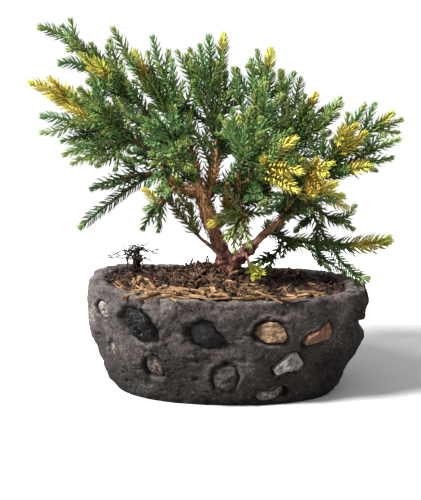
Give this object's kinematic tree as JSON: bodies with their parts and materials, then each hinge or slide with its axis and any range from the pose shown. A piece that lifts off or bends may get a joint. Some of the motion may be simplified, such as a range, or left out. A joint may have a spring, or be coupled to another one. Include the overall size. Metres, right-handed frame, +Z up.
{
  "type": "juniper bonsai in a stone-set pot",
  "caption": "Small needle-juniper bonsai with a leaning forked trunk and plumes of green and golden needles, growing in bark mulch in a rough dark oval pot set with stones.",
  "frame": {"origin": "middle of the pot's flat underside", "axes": "+X along the long side of the pot, to the right in the picture; +Y away from the viewer; +Z up"},
  "size_m": [0.2134, 0.1378, 0.2037],
  "materials": {
    "pot": "rough matt dark grey",
    "soil": "loose bark mulch",
    "bark": "flaky red-brown bark",
    "needles": "matt green needles",
    "gold_needles": "matt golden needles",
    "dry_roots": "dry dark rootlets",
    "dark_stone": "rough dark stone",
    "brown_stone": "rough brown stone",
    "pale_stone": "rough pale grey stone"
  },
  "bodies": {
    "root": {"pot": "pot", "stone_slate_dark": "dark_stone", "stone_lump_black": "dark_stone", "stone_pitted_brown": "brown_stone", "stone_round_dark": "dark_stone", "stone_tan": "brown_stone", "stone_brick_red": "brown_stone", "stone_white_grey": "pale_stone", "stone_pale_left": "pale_stone", "stone_brown_left": "brown_stone", "stone_pale_low": "pale_stone", "stone_back_1": "dark_stone", "stone_back_2": "brown_stone", "stone_back_3": "dark_stone", "stone_back_4": "dark_stone", "soil": "soil", "dry_roots": "dry_roots", "trunk": "bark", "right_stem": "bark", "left_bough": "bark", "left_upper_limb": "bark", "left_hanging_limb": "bark", "top_bough": "bark", "top_left_limb": "bark", "front_left_limb": "bark", "middle_bough": "bark", "right_upper_bough": "bark", "right_top_limb": "bark", "front_middle_limb": "bark", "centre_limb": "bark", "centre_right_limb": "bark", "right_far_limb": "bark", "front_right_limb": "bark", "under_limb": "bark", "low_spur": "bark", "left_spur": "bark", "back_bough": "bark", "back_left_limb": "bark", "back_right_limb": "bark", "left_low_foliage": "needles", "left_middle_foliage": "needles", "left_top_foliage": "needles", "left_hanging_foliage": "needles", "top_left_foliage": "needles", "front_left_foliage": "needles", "top_middle_foliage": "needles", "top_right_foliage": "needles", "right_top_foliage": "needles", "front_middle_foliage": "needles", "centre_low_foliage": "needles", "centre_right_foliage": "needles", "right_far_foliage": "needles", "front_right_foliage": "needles", "right_low_foliage": "needles", "under_right_foliage": "needles", "low_sprig_foliage": "gold_needles", "left_sprig_foliage": "needles", "back_middle_foliage": "needles", "back_left_foliage": "needles", "back_right_foliage": "needles"}
  },
  "joints": []
}
